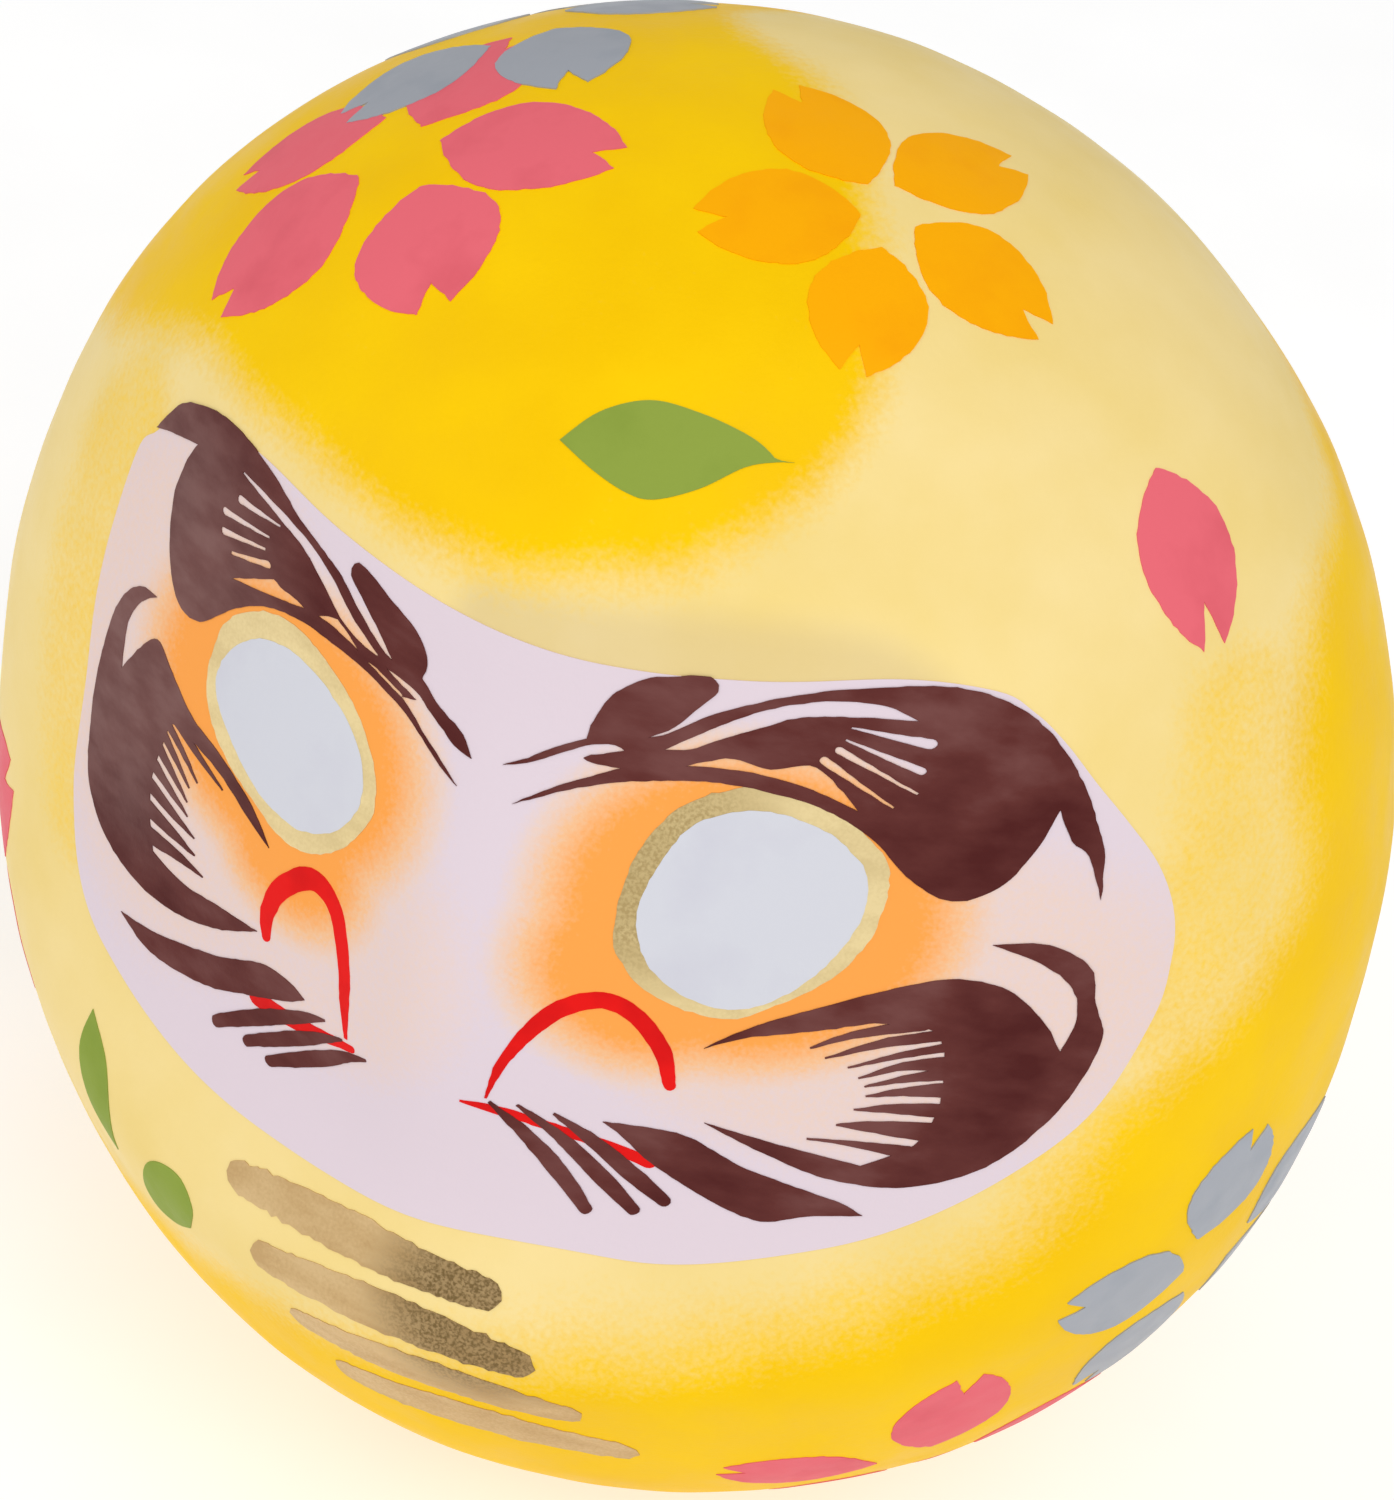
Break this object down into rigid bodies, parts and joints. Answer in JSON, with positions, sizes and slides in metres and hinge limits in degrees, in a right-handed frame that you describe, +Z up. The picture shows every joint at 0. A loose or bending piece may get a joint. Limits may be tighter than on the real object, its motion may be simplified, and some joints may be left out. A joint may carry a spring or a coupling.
{
  "type": "daruma doll",
  "caption": "Round, hollow papier-mache daruma doll with a sunken painted face and blank eyes, weighted inside the base so that it rights itself when tipped.",
  "frame": {"origin": "centre of the paper disc's underside, on the ground", "axes": "+Z up along the body, -Y the way the face looks, +X the doll's own left"},
  "size_m": [0.1888, 0.1611, 0.2],
  "materials": {
    "painted_coat": "satin sprayed and brushed paint over a chalk ground",
    "pasted_paper": "matt handmade paper",
    "moulded_pulp": "matt grey moulded pulp",
    "hide_glue": "dry amber glue",
    "pressed_clay": "matt unfired clay",
    "base_paper": "matt paper"
  },
  "bodies": {
    "root": {"ground_coat": "painted_coat", "paper_skin": "pasted_paper", "shell_front": "moulded_pulp", "shell_back": "moulded_pulp", "seam_strip": "pasted_paper", "glue_ring": "hide_glue", "base_weight": "pressed_clay", "base_disc": "base_paper"}
  },
  "joints": []
}
